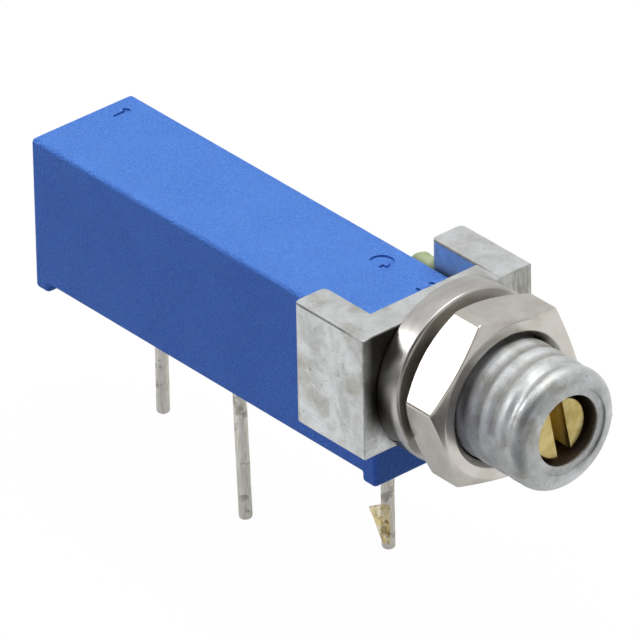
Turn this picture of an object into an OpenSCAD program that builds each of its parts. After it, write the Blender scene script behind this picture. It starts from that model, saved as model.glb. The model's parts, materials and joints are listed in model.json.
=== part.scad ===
// Rectangular multiturn trimmer potentiometer with a threaded panel bushing.
// X runs along the adjusting screw and out through the bushing, and Z is up.
// The origin is on the screw's axis, in the plane of the bracket's front face.

/* [Housing] */
// Length of the housing along the screw
housing_len = 19.05; // [18.8:0.05:19.4]
// Width of the housing across the screw
housing_w = 4.83; // [4.8:0.01:4.9]
// Height of the housing from its feet to its top
housing_h = 6.35; // [6.3:0.05:6.6]
// Height of the screw's axis above the feet
axis_h = 4.87; // [4.85:0.01:4.9]
// Rounding of the housing's outer edges
housing_edge = 0.18; // [0.1:0.02:0.24]
// Thickness of the side walls at their thin lower part
side_wall = 0.5; // [0.45:0.01:0.52]
// Width of the ledge on each side wall that the ceramic plate sits under
plate_ledge = 0.16; // [0.14:0.01:0.18]
// Thickness of the wall over the screw
top_wall = 0.5; // [0.45:0.01:0.55]
// Thickness of the wall at the closed end
rear_wall = 0.9; // [0.8:0.05:1]
// Thickness of the wall that carries the screw's head
front_wall = 2.6; // [2.5:0.05:2.7]
// Height of the standoff feet
foot_h = 0.38; // [0.34:0.02:0.42]
// Length of each standoff foot
foot_len = 0.76; // [0.7:0.02:0.8]

/* [Ceramic element] */
// Thickness of the ceramic plate
ceramic_t = 0.64; // [0.6:0.02:0.68]
// Depth of the plate's printed face below the axis
ceramic_top = 2.15; // [2.1:0.01:2.2]
// Width of the printed tracks
track_w = 0.8; // [0.7:0.05:0.9]
// Thickness of the printed tracks
track_t = 0.04; // [0.03:0.005:0.05]
// Gap between each track and the edge of the ceramic plate
track_gap = 0.555; // [0.52:0.005:0.58]
// Length of the conductor at each end of the resistive track
end_pad_len = 0.9; // [0.8:0.05:1]
// Distance that the tracks run on past each end of the wiper's travel
track_margin = 1.2; // [1.1:0.05:1.25]
// Gap at each end of the ceramic plate
ceramic_end_gap = 0.1; // [0.08:0.01:0.14]
// Width of the solder at each pin's root
joint_d = 0.92; // [0.88:0.02:0.98]
// Height of the solder at each pin's root
joint_h = 0.34; // [0.3:0.02:0.38]

/* [Pins] */
// Diameter of the pins
pin_d = 0.51; // [0.49:0.01:0.53]
// Width of the pins' squared roots inside the seal
root_w = 0.56; // [0.54:0.01:0.6]
// Length of the pins below the feet
pin_out = 5.68; // [5.5:0.02:5.9]
// Distance of each pin row from the housing's side
pin_inset = 1.145; // [1.13:0.005:1.16]
// Distance from the bracket's front face back to the front pin
pin_front_x = 4.9; // [4.8:0.02:5]
// Distance from the front pin to the middle pin
pitch_front = 5.08; // [5:0.02:5.16]
// Distance of the rear pin from the housing's closed end
pin_rear_x = 2.75; // [2.65:0.02:2.85]
// Lean of the middle pin towards the bushing, in degrees
pin_lean = 2.2; // [0:0.1:2.4]
// Offset of the leaning pin at the feet, towards the closed end
pin_shift = 0.16; // [0:0.01:0.2]

/* [Adjusting screw] */
// Diameter of the slotted screw heads
head_d = 2.36; // [2.32:0.02:2.4]
// Length of the lead screw's head
head_len = 1.8; // [1.7:0.05:1.85]
// Diameter of the neck that carries the seal
neck_d = 1.24; // [1.2:0.02:1.28]
// Outside diameter of the lead screw's thread
lead_d = 1.1; // [1:0.02:1.14]
// Diameter of the journal at the closed end
journal_d = 0.7; // [0.64:0.02:0.76]
// Length of the journal
journal_len = 0.42; // [0.38:0.02:0.46]
// Diameter of the stop flange behind the clip
stop_d = 1.7; // [1.6:0.02:1.8]
// Thickness of the stop flange
stop_t = 0.45; // [0.4:0.01:0.5]
// Depth of the head below the housing's end
head_sink = 0.05; // [0.03:0.01:0.08]
// Depth of the slot that the extension shaft's tongue turns
drive_depth = 0.6; // [0.5:0.02:0.7]
// Thickness of the clip that holds the screw
clip_t = 0.25; // [0.22:0.01:0.28]

/* [Carriage and wiper] */
// Length of the carriage along the screw
carriage_len = 2.4; // [2.2:0.05:2.5]
// Distance that the carriage keeps from each end of its room
carriage_stop = 0.45; // [0.4:0.01:0.5]
// Depth of the carriage's underside below the axis
carriage_low = 1.7; // [1.66:0.01:1.74]
// Thickness of the wiper's plate
wiper_t = 0.12; // [0.1:0.01:0.14]
// Width of each contact finger
finger_w = 0.16; // [0.14:0.01:0.18]
// Gap between two contact fingers
finger_gap = 0.08; // [0.06:0.01:0.1]

/* [Extension shaft] */
// Distance of the slotted face back from the bushing's tip
face_recess = 0.42; // [0.3:0.02:0.6]
// Width of the driver slot
slot_w = 0.64; // [0.6:0.02:0.68]
// Depth of the driver slot
slot_depth = 1.0; // [0.8:0.05:1.1]
// Turn of the driver slot away from upright, in degrees
slot_turn = 10.8; // [0:0.2:20]
// Width of the collar that keeps the shaft in the bushing
collar_d = 3.3; // [3.2:0.02:3.4]
// Thickness of the collar
collar_t = 0.66; // [0.6:0.01:0.7]
// Thickness of the tongue that turns the lead screw
tongue_t = 0.5; // [0.46:0.01:0.54]

/* [Bracket] */
// Thickness of the bracket's front plate
plate_t = 1.3; // [1.25:0.01:1.35]
// Width of the bracket over its two arms
bracket_w = 7.99; // [7.9:0.01:8.1]
// Height of the bracket
bracket_h = 4.95; // [4.85:0.05:5.05]
// Height of the bracket's top above the axis
bracket_top = 2.54; // [2.5:0.01:2.58]
// Length of the arms behind the front plate
arm_len = 2.47; // [2.4:0.01:2.55]
// Gap between each arm and the housing
arm_gap = 0.09; // [0.06:0.01:0.12]
// Rounding of the bracket's edges
bracket_edge = 0.16; // [0.1:0.02:0.2]
// Outside diameter of the bushing's thread
bushing_d = 4.76; // [4.72:0.01:4.8]
// Length of the bushing in front of the plate
bushing_len = 6.35; // [6.3:0.05:6.5]
// Length of the rounding at the bushing's tip
tip_round = 0.34; // [0.28:0.02:0.4]
// Length of the threaded stretch, up to the smooth collar at the tip
thread_len = 5.75; // [5.6:0.05:5.8]
// Distance from ridge to ridge of the thread
ridge_pitch = 0.794; // [0.77:0.002:0.81]
// Depth of the grooves between the ridges
ridge_depth = 0.2; // [0.1:0.02:0.24]
// Diameter of the wide mouth of the bushing
mouth_d = 2.66; // [2.62:0.01:2.7]
// Length of the wide mouth
mouth_len = 1.8; // [1.6:0.1:2]
// Diameter of the shallow step around the mouth
step_d = 3.3; // [3.2:0.05:3.4]
// Depth of the shallow step
step_depth = 0.07; // [0.05:0.01:0.1]

/* [Nut and lock washer] */
// Width of the nut across its flats
nut_flats = 6.35; // [6.25:0.01:6.4]
// Thickness of the nut
nut_t = 2.22; // [2.1:0.02:2.3]
// Turn of the nut on the bushing, in degrees
nut_turn = 49.5; // [0:0.5:59]
// Diameter of the nut's front face inside the corner chamfers
nut_face_d = 6.1; // [6:0.05:6.2]
// Diameter of the nut's rear face, inside a chamfer that is deep enough to show beside the lock washer
nut_seat_d = 5.3; // [5.2:0.05:5.4]
// Slope of the front corner chamfer, in degrees
nut_front_slope = 26; // [24:1:30]
// Slope of the rear corner chamfer, in degrees
nut_rear_slope = 36; // [34:1:38]
// Width of the lock washer's ring
washer_w = 0.99; // [0.95:0.01:1.04]
// Thickness of the lock washer
washer_t = 1.08; // [1:0.02:1.2]
// Rounding of the lock washer's edges
washer_edge = 0.12; // [0.1:0.02:0.2]
// Width of the split in the lock washer
split_w = 0.2; // [0.16:0.02:0.26]
// Place of the split around the axis, in degrees
split_at = 211; // [200:1:220]
// Slant of the split, in degrees
split_slant = 28; // [20:1:36]

/* [Fits] */
// Radial clearance of the heads in their bores
head_fit = 0.06; // [0.04:0.01:0.08]
// Radial clearance of the lead screw in the carriage and in the closed end
screw_fit = 0.04; // [0.03:0.01:0.06]
// Radial clearance of the nut and the lock washer on the bushing
nut_fit = 0.06; // [0.04:0.01:0.08]
// Clearance of the carriage in the cavity
carriage_fit = 0.08; // [0.06:0.01:0.1]
// Clearance of the wiper's tips above the tracks
tip_fit = 0.02; // [0.02:0.005:0.03]
// Clearance along the axis at the collars and the tongue
end_play = 0.06; // [0.05:0.01:0.08]

/* [Adhesive and resin] */
// Reach of the adhesive bead outwards from the housing
bead_out = 1.05; // [0.9:0.05:1.2]
// Length of the adhesive bead along the housing
bead_len = 1.6; // [1.4:0.05:1.8]
// Height of the adhesive bead's top above the housing's top
bead_rise = 0.1; // [0:0.02:0.16]
// Width of the resin sliver on the front pin
resin_w = 0.42; // [0.3:0.02:0.5]
// Length of the resin sliver up the pin from its tip
resin_len = 1.8; // [1.6:0.05:2]
// Thickness of the resin sliver
resin_t = 0.24; // [0.2:0.02:0.3]

/* [Hidden] */
$fn = 48;

// A small overshoot for cuts, so that no two cut faces lie in one plane
over = 0.5;

// Housing, from its closed end to the end under the bracket's plate
front_x = -plate_t;
rear_x = front_x - housing_len;
half_w = housing_w / 2;
foot_z = -axis_h;
rim_z = foot_z + foot_h;
top_z = foot_z + housing_h;
cavity_rear = rear_x + rear_wall;
cavity_front = front_x - front_wall;
lower_half = half_w - side_wall;
upper_half = lower_half - plate_ledge;
cavity_top = top_z - top_wall;

// Ceramic element
ceramic_z = -ceramic_top;
ceramic_low = ceramic_z - ceramic_t;
track_y = lower_half - track_gap - track_w / 2 - carriage_fit / 2;

// Lead screw
head_r = head_d / 2;
head_front = front_x - head_sink;
head_rear = head_front - head_len;
neck_r = neck_d / 2;
lead_r = lead_d / 2;
clip_front = cavity_front - end_play;
clip_rear = clip_front - clip_t;
stop_r = stop_d / 2;
stop_front = clip_rear - end_play;
stop_rear = stop_front - stop_t;
journal_r = journal_d / 2;
lead_rear = cavity_rear + end_play;

// Carriage, held in the middle of its travel
carriage_mid = (cavity_rear + stop_rear) / 2;
carriage_rear = carriage_mid - carriage_len / 2;
carriage_z = -carriage_low;
travel = stop_rear - cavity_rear - carriage_len - 2 * carriage_stop;
contact_x = carriage_mid + carriage_len * 0.18;
track_rear = contact_x - travel / 2 - track_margin;
track_front = contact_x + travel / 2 + track_margin;

// Extension shaft
shaft_face = bushing_len - face_recess;
collar_rear = front_x + end_play;
collar_front = collar_rear + collar_t;
drive_w = tongue_t + 2 * end_play;

// Bushing, lock washer and nut
bushing_r = bushing_d / 2;
groove_r = bushing_r - ridge_depth;
grooves = floor(thread_len / ridge_pitch);
nut_bore_r = bushing_r + nut_fit;
washer_r = nut_bore_r + washer_w;
nut_rear = washer_t;
nut_front = nut_rear + nut_t;
nut_corner_r = nut_flats / 2 / cos(30);
nut_face_r = nut_face_d / 2;
nut_seat_r = nut_seat_d / 2;

// Pins, by number from the closed end
pin_r = pin_d / 2;
pin_y = half_w - pin_inset;
pin_3_x = -pin_front_x;
pin_2_x = pin_3_x - pitch_front;
pin_1_x = rear_x + pin_rear_x;
pin_tip_z = foot_z - pin_out;
joint_r = joint_d / 2;

// Blocks and turned shapes

module block(x, y, z) {
    translate([x[0], y[0], z[0]])
        cube([x[1] - x[0], y[1] - y[0], z[1] - z[0]]);
}

module rounded_rect(size, r) {
    translate([r, 0]) square([size[0] - 2 * r, size[1]]);
    translate([0, r]) square([size[0], size[1] - 2 * r]);
    for (x = [r, size[0] - r], y = [r, size[1] - r])
        translate([x, y]) circle(r = r);
}

// A profile in Y and Z, drawn out along X
module along_x(x0, x1) {
    translate([x0, 0, 0]) rotate([90, 0, 90]) linear_extrude(height = x1 - x0) children();
}

// A profile in X and Z, drawn out along Y
module along_y(y0, y1) {
    translate([0, y1, 0]) rotate([90, 0, 0]) linear_extrude(height = y1 - y0) children();
}

// A block with every edge rounded
module soft_block(x, y, z, r) {
    intersection() {
        translate([x[0], y[0], z[0]])
            linear_extrude(height = z[1] - z[0]) rounded_rect([x[1] - x[0], y[1] - y[0]], r);
        along_x(x[0], x[1])
            translate([y[0], z[0]]) rounded_rect([y[1] - y[0], z[1] - z[0]], r);
        along_y(y[0], y[1])
            translate([x[0], z[0]]) rounded_rect([x[1] - x[0], z[1] - z[0]], r);
    }
}

module x_rod(r, x0, x1) {
    translate([x0, 0, 0]) rotate([0, 90, 0]) cylinder(r = r, h = x1 - x0);
}

// A turned solid about the axis, from points of distance along X and radius
module turned(points) {
    rotate([0, 90, 0]) rotate_extrude() polygon([for (p = points) [p[1], p[0]]]);
}

// Points of a quarter round from one end of a corner to the other
function quarter(cx, cr, r, from, to) =
    [for (i = [0 : 4]) let (a = from + (to - from) * i / 4) [cx + r * cos(a), cr + r * sin(a)]];

// Housing, ceramic element and pins

module housing() {
    y = [-half_w, half_w];
    color("royalblue") difference() {
        union() {
            soft_block([rear_x, front_x], y, [rim_z, top_z], housing_edge);
            for (x = [rear_x, front_x - foot_len])
                soft_block([x, x + foot_len], y, [foot_z, rim_z + foot_h], housing_edge);
        }
        block([cavity_rear, cavity_front], [-lower_half, lower_half], [foot_z - over, ceramic_z]);
        block([cavity_rear, cavity_front], [-upper_half, upper_half], [foot_z, cavity_top]);
        x_rod(head_r + head_fit, cavity_front - over, front_x + over);
        x_rod(journal_r + screw_fit, cavity_rear - journal_len, cavity_rear + over);
    }
}

module base_seal() {
    color("darkslateblue") difference() {
        block([cavity_rear, cavity_front], [-lower_half, lower_half], [rim_z, ceramic_low]);
        pin_row();
        pin_cones();
    }
}

module element_plate() {
    color("ivory")
        block([cavity_rear + ceramic_end_gap, cavity_front - ceramic_end_gap],
              [-lower_half + carriage_fit / 2, lower_half - carriage_fit / 2],
              [ceramic_low, ceramic_z]);
}

module track(y) {
    block([track_rear, track_front], [y - track_w / 2, y + track_w / 2],
          [ceramic_z, ceramic_z + track_t]);
}

module resistive_track() {
    color("dimgray") difference() {
        track(track_y);
        end_blocks();
    }
}

module collector_track() {
    color("silver") track(-track_y);
}

module end_blocks() {
    for (x = [track_rear, track_front - end_pad_len])
        block([x, x + end_pad_len], [track_y - track_w / 2, track_y + track_w / 2],
              [ceramic_z, ceramic_z + track_t]);
}

module end_conductors() {
    color("lightgray") end_blocks();
}

// A pin with its middle line on Z, from its solder joint to its tip
module pin() {
    tip = 0.1;
    block([-root_w / 2, root_w / 2], [-root_w / 2, root_w / 2], [rim_z, ceramic_low]);
    translate([0, 0, pin_tip_z + tip]) cylinder(r = pin_r, h = rim_z - pin_tip_z - tip);
    translate([0, 0, pin_tip_z]) cylinder(r1 = pin_r - tip, r2 = pin_r, h = tip);
}

// Leans its child about the point where the pin meets the ceramic plate
module leaning() {
    rise = ceramic_low - foot_z;
    translate([pin_2_x - pin_shift - rise * tan(pin_lean), -pin_y, ceramic_low])
        rotate([0, -pin_lean, 0]) translate([0, 0, -ceramic_low]) children();
}

module pin_1() {
    color("darkkhaki") translate([pin_1_x, pin_y, 0]) pin();
}

module pin_2() {
    color("darkkhaki") difference() {
        leaning() pin();
        translate([pin_2_x, -pin_y, ceramic_low]) cylinder(r = joint_d, h = over);
    }
}

module pin_3() {
    color("darkkhaki") translate([pin_3_x, pin_y, 0]) pin();
}

module pin_row() {
    pin_1();
    leaning() pin();
    pin_3();
}

module pin_cones() {
    rise = ceramic_low - foot_z;
    for (p = [[pin_1_x, pin_y], [pin_2_x - pin_shift - rise * tan(pin_lean), -pin_y], [pin_3_x, pin_y]])
        translate([p[0], p[1], ceramic_low - joint_h])
            cylinder(r1 = root_w * 0.75, r2 = joint_r, h = joint_h);
}

module pin_joints() {
    color("gainsboro") difference() {
        pin_cones();
        pin_row();
    }
}

// A thin sliver of resin left on the front pin, on the side away from the bushing
module resin_sliver() {
    low = pin_tip_z + 0.1;
    out = pin_r + resin_w;
    color("tan") difference() {
        translate([pin_3_x, pin_y, low]) rotate([90, 0, 229]) translate([0, 0, -resin_t / 2])
            linear_extrude(height = resin_t)
                polygon([[0.05, 0], [0.1, resin_len * 0.97], [out - 0.08, resin_len],
                         [out, resin_len * 0.9], [out - 0.06, resin_len * 0.78]]);
        pin_3();
    }
}

// Screw train

module lead_screw() {
    color("goldenrod") difference() {
        turned([
            [lead_rear - journal_len, 0], [lead_rear - journal_len, journal_r],
            [lead_rear, journal_r], [lead_rear, lead_r],
            [stop_rear, lead_r], [stop_rear, stop_r],
            [stop_front, stop_r], [stop_front, neck_r],
            [head_rear, neck_r], [head_rear, head_r],
            [head_front, head_r], [head_front, 0]
        ]);
        rotate([slot_turn, 0, 0])
            block([head_front - drive_depth, head_front + over],
                  [-drive_w / 2, drive_w / 2], [-head_d, head_d]);
    }
}

module screw_seal() {
    bore_r = head_r + head_fit;
    ring_r = (bore_r - neck_r) / 2 - 0.01;
    color("black") translate([head_rear - ring_r - end_play / 2, 0, 0]) rotate([0, 90, 0])
        rotate_extrude() translate([(bore_r + neck_r) / 2, 0]) circle(r = ring_r);
}

module screw_clip() {
    slot = neck_r + screw_fit;
    color("silver") difference() {
        block([clip_rear, clip_front], [-upper_half + 0.05, upper_half - 0.05],
              [carriage_z, cavity_top - carriage_fit]);
        x_rod(slot, clip_rear - over, clip_front + over);
        block([clip_rear - over, clip_front + over], [-slot, slot], [carriage_z - over, 0]);
    }
}

module carriage() {
    half = upper_half - carriage_fit;
    color("whitesmoke") difference() {
        block([carriage_rear, carriage_rear + carriage_len], [-half, half],
              [carriage_z, cavity_top - carriage_fit]);
        x_rod(lead_r + screw_fit, carriage_rear - over, carriage_rear + carriage_len + over);
    }
}

// A sprung contact plate under the carriage, with two rows of fingers on the tracks
module wiper() {
    tip_z = ceramic_z + track_t + tip_fit;
    plate_z = carriage_z - wiper_t;
    root = carriage_rear + carriage_len * 0.4;
    color("gold") {
        block([carriage_rear + 0.2, root + 0.04], [-track_y - track_w / 2, track_y + track_w / 2],
              [plate_z, carriage_z]);
        for (side = [-1, 1], i = [-1 : 1]) {
            y = side * track_y + i * (finger_w + finger_gap);
            along_y(y - finger_w / 2, y + finger_w / 2)
                polygon([[root, carriage_z], [root, plate_z],
                         [contact_x - 0.15, tip_z], [contact_x + 0.15, tip_z],
                         [contact_x + 0.15, tip_z + wiper_t / 2], [contact_x - 0.15, tip_z + wiper_t]]);
        }
    }
}

module extension_shaft() {
    bevel = 0.05;
    color("darkgoldenrod") difference() {
        union() {
            turned([
                [collar_rear, 0], [collar_rear, collar_d / 2],
                [collar_front, collar_d / 2], [collar_front, head_r],
                [shaft_face - bevel, head_r], [shaft_face, head_r - bevel], [shaft_face, 0]
            ]);
            rotate([slot_turn, 0, 0]) intersection() {
                x_rod(head_r - 0.04, head_front - drive_depth + end_play, collar_rear + 0.1);
                block([head_front - drive_depth, collar_rear + 0.1],
                      [-tongue_t / 2, tongue_t / 2], [-head_d, head_d]);
            }
        }
        rotate([slot_turn, 0, 0])
            block([shaft_face - slot_depth, shaft_face + over],
                  [-slot_w / 2, slot_w / 2], [-head_d, head_d]);
    }
}

// Bracket with its bushing, and what holds it

// Profile of the bushing's outside: the thread as rings, so that each ridge stays a true turned face
function ridges() = [
    for (i = [grooves - 1 : -1 : 0])
        let (x = thread_len - (i + 0.5) * ridge_pitch)
        for (step = [[-0.36, bushing_r], [-0.12, groove_r], [0.12, groove_r], [0.36, bushing_r]])
            [x + step[0] * ridge_pitch, step[1]]
];

module mounting_bracket() {
    out = bracket_w / 2;
    inner = half_w + arm_gap;
    rear = front_x - arm_len;
    z = [bracket_top - bracket_h, bracket_top];
    color("silver") difference() {
        union() {
            difference() {
                soft_block([rear, 0], [-out, out], z, bracket_edge);
                block([rear - over, front_x], [-inner, inner], [z[0] - over, z[1] + over]);
            }
            turned(concat(
                [[-plate_t / 2, 0], [-plate_t / 2, bushing_r]],
                ridges(),
                quarter(bushing_len - tip_round, bushing_r - tip_round, tip_round, 90, 0),
                [[bushing_len, 0]]
            ));
        }
        x_rod(head_r + head_fit, -plate_t - over, bushing_len + over);
        x_rod(mouth_d / 2, bushing_len - mouth_len, bushing_len + over);
        x_rod(step_d / 2, bushing_len - step_depth, bushing_len + over);
        x_rod(collar_d / 2 + head_fit, -plate_t - over, collar_front + end_play);
    }
}

// A bead squeezed out beside the housing, behind the far arm
module adhesive_bead() {
    arm_rear = front_x - arm_len;
    r = 0.42;
    high = top_z + bead_rise - r;
    low = bracket_top - bracket_h + 0.9;
    color("yellowgreen") intersection() {
        hull() {
            for (z = [low, high], y = [half_w, half_w + bead_out - r])
                translate([arm_rear - (y > half_w ? r : bead_len - r), y, z]) sphere(r = r, $fn = 24);
            translate([arm_rear - r, half_w, high]) sphere(r = r, $fn = 24);
            translate([arm_rear, half_w + bead_out - r, high]) sphere(r = r, $fn = 24);
            translate([arm_rear, half_w + bead_out - r, low]) sphere(r = r, $fn = 24);
        }
        block([arm_rear - bead_len, arm_rear], [half_w, half_w + bead_out], [low - r, high + r]);
    }
}

module lock_washer() {
    e = washer_edge;
    bore = nut_bore_r;
    color("gainsboro") difference() {
        turned(concat(
            quarter(e, bore + e, e, 270, 180),
            quarter(e, washer_r - e, e, 180, 90),
            quarter(washer_t - e, washer_r - e, e, 90, 0),
            quarter(washer_t - e, bore + e, e, 0, -90)
        ));
        rotate([split_at, 0, 0]) translate([washer_t / 2, (bore + washer_r) / 2, 0])
            rotate([0, split_slant, 0])
                cube([4 * washer_t, washer_r, split_w], center = true);
    }
}

module panel_nut() {
    drop_front = (nut_corner_r - nut_face_r) * tan(nut_front_slope);
    drop_rear = (nut_corner_r - nut_seat_r) * tan(nut_rear_slope);
    sink = 0.2;
    color("wheat") difference() {
        intersection() {
            translate([nut_rear, 0, 0]) rotate([nut_turn, 0, 0]) rotate([0, 90, 0])
                rotate([0, 0, 90]) cylinder(r = nut_corner_r, h = nut_t, $fn = 6);
            turned([
                [nut_rear, 0], [nut_rear, nut_seat_r],
                [nut_rear + drop_rear, nut_corner_r], [nut_front - drop_front, nut_corner_r],
                [nut_front, nut_face_r], [nut_front, 0]
            ]);
        }
        x_rod(nut_bore_r, nut_rear - over, nut_front + over);
        for (side = [[nut_rear, 1], [nut_front, -1]])
            turned([
                [side[0] - side[1] * over, 0], [side[0] - side[1] * over, nut_bore_r + sink],
                [side[0], nut_bore_r + sink], [side[0] + side[1] * sink, nut_bore_r],
                [side[0] + side[1] * sink, 0]
            ]);
    }
}

housing();
base_seal();
element_plate();
resistive_track();
collector_track();
end_conductors();
pin_joints();
pin_1();
pin_2();
pin_3();
resin_sliver();
lead_screw();
screw_seal();
screw_clip();
carriage();
wiper();
mounting_bracket();
extension_shaft();
adhesive_bead();
lock_washer();
panel_nut();
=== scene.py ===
import json
import math
from functools import partial

import bmesh
import bpy
import numpy as np
from mathutils import Matrix, Vector, noise


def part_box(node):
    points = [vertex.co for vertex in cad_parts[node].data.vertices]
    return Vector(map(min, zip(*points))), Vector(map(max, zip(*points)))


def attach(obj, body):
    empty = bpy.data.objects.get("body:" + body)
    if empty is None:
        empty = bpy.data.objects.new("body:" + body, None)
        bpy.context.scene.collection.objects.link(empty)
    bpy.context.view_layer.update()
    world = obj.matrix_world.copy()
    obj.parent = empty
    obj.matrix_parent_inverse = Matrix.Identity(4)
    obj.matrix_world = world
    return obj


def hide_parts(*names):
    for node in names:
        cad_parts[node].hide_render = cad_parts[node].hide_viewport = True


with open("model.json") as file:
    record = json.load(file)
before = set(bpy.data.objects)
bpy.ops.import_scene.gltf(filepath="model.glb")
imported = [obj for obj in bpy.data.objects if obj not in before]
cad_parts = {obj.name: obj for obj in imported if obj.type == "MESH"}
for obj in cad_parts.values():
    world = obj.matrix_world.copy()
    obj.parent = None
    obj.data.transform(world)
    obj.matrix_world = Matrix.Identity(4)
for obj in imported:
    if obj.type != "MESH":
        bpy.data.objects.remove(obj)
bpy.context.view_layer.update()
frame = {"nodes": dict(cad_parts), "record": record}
record = frame["record"]
mm = 0.001
print("frame loaded:", len(frame["nodes"]), "nodes")


# small tools for meshes and nodes

def tone(r, g, b):
    # sRGB from 0 to 255, made the linear colour that a shader takes
    return tuple((c / 255 / 12.92 if c <= 10.3 else ((c / 255 + 0.055) / 1.055) ** 2.4)
                 for c in (r, g, b)) + (1.0,)


def addObject(name, data):
    obj = bpy.data.objects.new(name, data)
    bpy.context.scene.collection.objects.link(obj)
    return obj


def meshObject(name, points, faces):
    # points in millimetres, made a closed mesh with its faces outwards
    mesh = bpy.data.meshes.new(name)
    mesh.from_pydata([tuple(c * mm for c in p) for p in points], [], faces)
    work = bmesh.new()
    work.from_mesh(mesh)
    bmesh.ops.remove_doubles(work, verts=work.verts, dist=1e-7)
    bmesh.ops.recalc_face_normals(work, faces=work.faces)
    work.to_mesh(mesh)
    work.free()
    return addObject(name, mesh)


def plainMesh(obj):
    # what the modifiers give becomes the object's own mesh
    bpy.context.view_layer.update()
    graph = bpy.context.evaluated_depsgraph_get()
    mesh = bpy.data.meshes.new_from_object(obj.evaluated_get(graph), depsgraph=graph)
    obj.modifiers.clear()
    obj.data = mesh
    mesh.name = obj.name
    return obj


def skin(name, rings, loop=False):
    # quads between successive rings of points, closed round, with the ends capped or joined
    count = len(rings[0])
    points = [tuple(p) for ring in rings for p in ring]
    faces = []
    last = len(rings) if loop else len(rings) - 1
    for i in range(last):
        a, b = i * count, (i + 1) % len(rings) * count
        for j in range(count):
            k = (j + 1) % count
            faces.append((a + j, a + k, b + k, b + j))
    if not loop:
        for start in (0, (len(rings) - 1) * count):
            centre = np.mean(rings[start // count], axis=0)
            points.append(tuple(centre))
            faces += [(start + j, start + (j + 1) % count, len(points) - 1) for j in range(count)]
    return meshObject(name, points, faces)


def turnedRings(profile, steps):
    # rings about the X axis from pairs of place along it and radius
    angles = np.linspace(0, 2 * math.pi, steps, endpoint=False)
    return [np.stack([np.full(steps, x), r * np.cos(angles), r * np.sin(angles)], axis=1)
            for x, r in profile]


def softCorners(points, rounding, steps=4):
    # a polyline with its inner corners turned into small arcs; 0 in rounding keeps a corner
    out = [points[0]]
    for i in range(1, len(points) - 1):
        r = rounding[i - 1]
        p, a, b = (np.array(points[k], float) for k in (i, i - 1, i + 1))
        u, v = (a - p) / np.linalg.norm(a - p), (b - p) / np.linalg.norm(b - p)
        if r <= 0:
            out.append(tuple(p))
            continue
        for k in range(steps + 1):
            s = k / steps
            q = p + u * r * (1 - s) ** 2 + v * r * s ** 2
            out.append(tuple(q))
    return out + [points[-1]]


def prism(name, outline, low, high, axis):
    # an outline drawn out along one axis: 1 is Y, 2 is Z
    count = len(outline)
    place = (lambda p, h: (p[0], h, p[1])) if axis == 1 else (lambda p, h: (p[0], p[1], h))
    points = [place(p, h) for h in (low, high) for p in outline]
    faces = [tuple(range(count)), tuple(range(count, 2 * count))]
    faces += [(i, (i + 1) % count, count + (i + 1) % count, count + i) for i in range(count)]
    return meshObject(name, points, faces)


def box(name, x, y, z):
    return prism(name, [(x[0], y[0]), (x[1], y[0]), (x[1], y[1]), (x[0], y[1])], z[0], z[1], 2)


def rod(name, radius, x0, x1, steps):
    return skin(name, turnedRings([(x0, radius), (x1, radius)], steps))


def roundEdges(obj, width, segments=4, angle=30):
    bevel = obj.modifiers.new("edges", "BEVEL")
    bevel.width, bevel.segments = width * mm, segments
    bevel.limit_method, bevel.angle_limit = "ANGLE", math.radians(angle)
    return plainMesh(obj)


def cutAway(obj, *cutters):
    for cutter in cutters:
        cut = obj.modifiers.new("cut", "BOOLEAN")
        cut.operation, cut.solver, cut.object = "DIFFERENCE", "EXACT", cutter
    plainMesh(obj)
    for cutter in cutters:
        bpy.data.objects.remove(cutter)


def joinShells(obj, *others):
    # other closed shells go into the same mesh
    work = bmesh.new()
    work.from_mesh(obj.data)
    for other in others:
        work.from_mesh(other.data)
    work.to_mesh(obj.data)
    work.free()
    for other in others:
        bpy.data.objects.remove(other)


def smoothShade(obj, angle, weighted=True):
    mesh = obj.data
    mesh.polygons.foreach_set("use_smooth", [True] * len(mesh.polygons))
    mesh.set_sharp_from_angle(angle=math.radians(angle))
    if weighted:
        even = obj.modifiers.new("even", "WEIGHTED_NORMAL")
        even.keep_sharp = True
        plainMesh(obj)
    return obj


def fitPiece(obj, body, slotName, *nodes):
    obj.data.materials.clear()
    obj.data.materials.append(finishes[slotName])
    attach(obj, body)
    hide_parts(*nodes)
    print(" ", obj.name, len(obj.data.polygons), "faces")


def addNode(tree, kind, inputs=None, **settings):
    node = tree.nodes.new(kind)
    for name, value in settings.items():
        setattr(node, name, value)
    for key, value in (inputs or {}).items():
        if isinstance(value, bpy.types.NodeSocket):
            tree.links.new(value, node.inputs[key])
        else:
            node.inputs[key].default_value = value
    return node


def mathNode(tree, operation, *values):
    return addNode(tree, "ShaderNodeMath", dict(enumerate(values)), operation=operation).outputs[0]


def product(tree, *values):
    result = values[0]
    for value in values[1:]:
        result = mathNode(tree, "MULTIPLY", result, value)
    return result


def emptyTree(owner):
    # the node tree of a material or a world, with nothing in it
    owner.use_nodes = True
    owner.node_tree.nodes.clear()
    return owner.node_tree


def ramp(tree, value, low, high, a=0.0, b=1.0):
    # a smooth step from a to b
    node = addNode(tree, "ShaderNodeMapRange",
                   {"Value": value, "From Min": low, "From Max": high, "To Min": a, "To Max": b},
                   interpolation_type="SMOOTHSTEP")
    return node.outputs[0]


# shader groups that several finishes share; their places and sizes are in millimetres

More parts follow.
